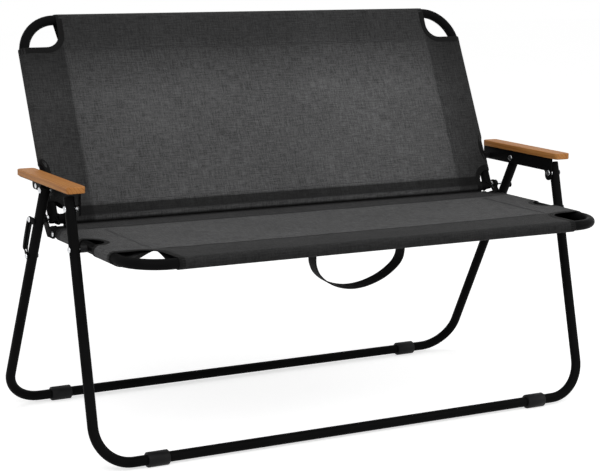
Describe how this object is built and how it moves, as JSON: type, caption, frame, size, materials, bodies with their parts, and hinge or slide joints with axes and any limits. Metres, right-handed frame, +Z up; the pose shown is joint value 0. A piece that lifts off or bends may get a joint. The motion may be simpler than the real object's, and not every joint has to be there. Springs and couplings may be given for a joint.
{
  "type": "folding camping loveseat",
  "caption": "Low folding camping bench for two, with a tube frame, grey sling seat and back, wooden armrests and a carry strap. It folds flat.",
  "frame": {"origin": "on the floor under the middle of the bench's bounding box", "axes": "+Z up, the bench faces -Y, +X to the right of someone who looks at its front"},
  "size_m": [1.1328, 0.6278, 0.8052],
  "materials": {
    "coated_steel": "satin powder coat",
    "zinc": "zinc plated",
    "plastic": "moulded, matte",
    "wood": "oiled, satin",
    "fabric": "woven polyester",
    "webbing": "woven webbing"
  },
  "bodies": {
    "front_legs": {"front_leg_left": "coated_steel", "front_leg_right": "coated_steel", "front_rail": "coated_steel", "front_foot_left": "plastic", "front_foot_right": "plastic", "front_leg_cap_left": "plastic", "front_leg_cap_right": "plastic", "seat_pivot_left": "zinc", "seat_pivot_right": "zinc", "seat_pivot_bush_left": "plastic", "seat_pivot_bush_right": "plastic"},
    "arms": {"armrest_left": "wood", "armrest_right": "wood", "arm_rail_left": "coated_steel", "arm_rail_right": "coated_steel", "arm_screw_front_left": "zinc", "arm_screw_front_right": "zinc", "arm_screw_rear_left": "zinc", "arm_screw_rear_right": "zinc", "arm_back_pivot_left": "zinc", "arm_back_pivot_right": "zinc", "back_pivot_bush_left": "plastic", "back_pivot_bush_right": "plastic", "rear_leg_pivot_left": "zinc", "rear_leg_pivot_right": "zinc", "front_leg_pivot_left": "zinc", "front_leg_pivot_right": "zinc"},
    "rear_legs": {"rear_leg_left": "coated_steel", "rear_leg_right": "coated_steel", "rear_rail": "coated_steel", "rear_foot_left": "plastic", "rear_foot_right": "plastic", "rear_leg_cap_left": "plastic", "rear_leg_cap_right": "plastic", "leg_guide_left": "coated_steel", "leg_guide_right": "coated_steel", "guide_rivet_left": "zinc", "guide_rivet_right": "zinc"},
    "seat": {"seat_side_left": "coated_steel", "seat_side_right": "coated_steel", "seat_front_rail": "coated_steel", "seat_rear_rail": "coated_steel", "seat_bracket_left": "coated_steel", "seat_bracket_right": "coated_steel", "seat_bracket_rivet_left": "zinc", "seat_bracket_rivet_right": "zinc", "seat_fabric": "fabric", "carry_strap": "webbing"},
    "back": {"back_side_left": "coated_steel", "back_side_right": "coated_steel", "back_top_rail": "coated_steel", "back_bottom_rail": "coated_steel", "corner_pin_left": "zinc", "corner_pin_right": "zinc", "corner_bush_left": "plastic", "corner_bush_right": "plastic", "back_fabric": "fabric"}
  },
  "joints": [
    {"name": "arm_fold", "type": "hinge", "parent": "front_legs", "child": "arms", "pos_m": [0, -0.0875, 0.47266], "axis": [-1, 0, 0], "range_deg": [0, 96.86]},
    {"name": "seat_fold", "type": "hinge", "parent": "front_legs", "child": "seat", "pos_m": [0, -0.10567, 0.4], "axis": [-1, 0, 0], "range_deg": [0, 98.9]},
    {"name": "back_fold", "type": "hinge", "parent": "arms", "child": "back", "pos_m": [0, 0.13217, 0.4841], "axis": [1, 0, 0], "range_deg": [0, 111.1]},
    {"name": "rear_leg_fold", "type": "hinge", "parent": "arms", "child": "rear_legs", "pos_m": [0, 0.04996, 0.4885], "axis": [1, 0, 0], "range_deg": [0, 53.6]}
  ],
  "couplings": [
    {"joint": "seat_fold", "follows": "arm_fold", "ratio": 1.0204},
    {"joint": "back_fold", "follows": "arm_fold", "ratio": 1.1461},
    {"joint": "rear_leg_fold", "follows": "arm_fold", "ratio": 0.55245}
  ]
}
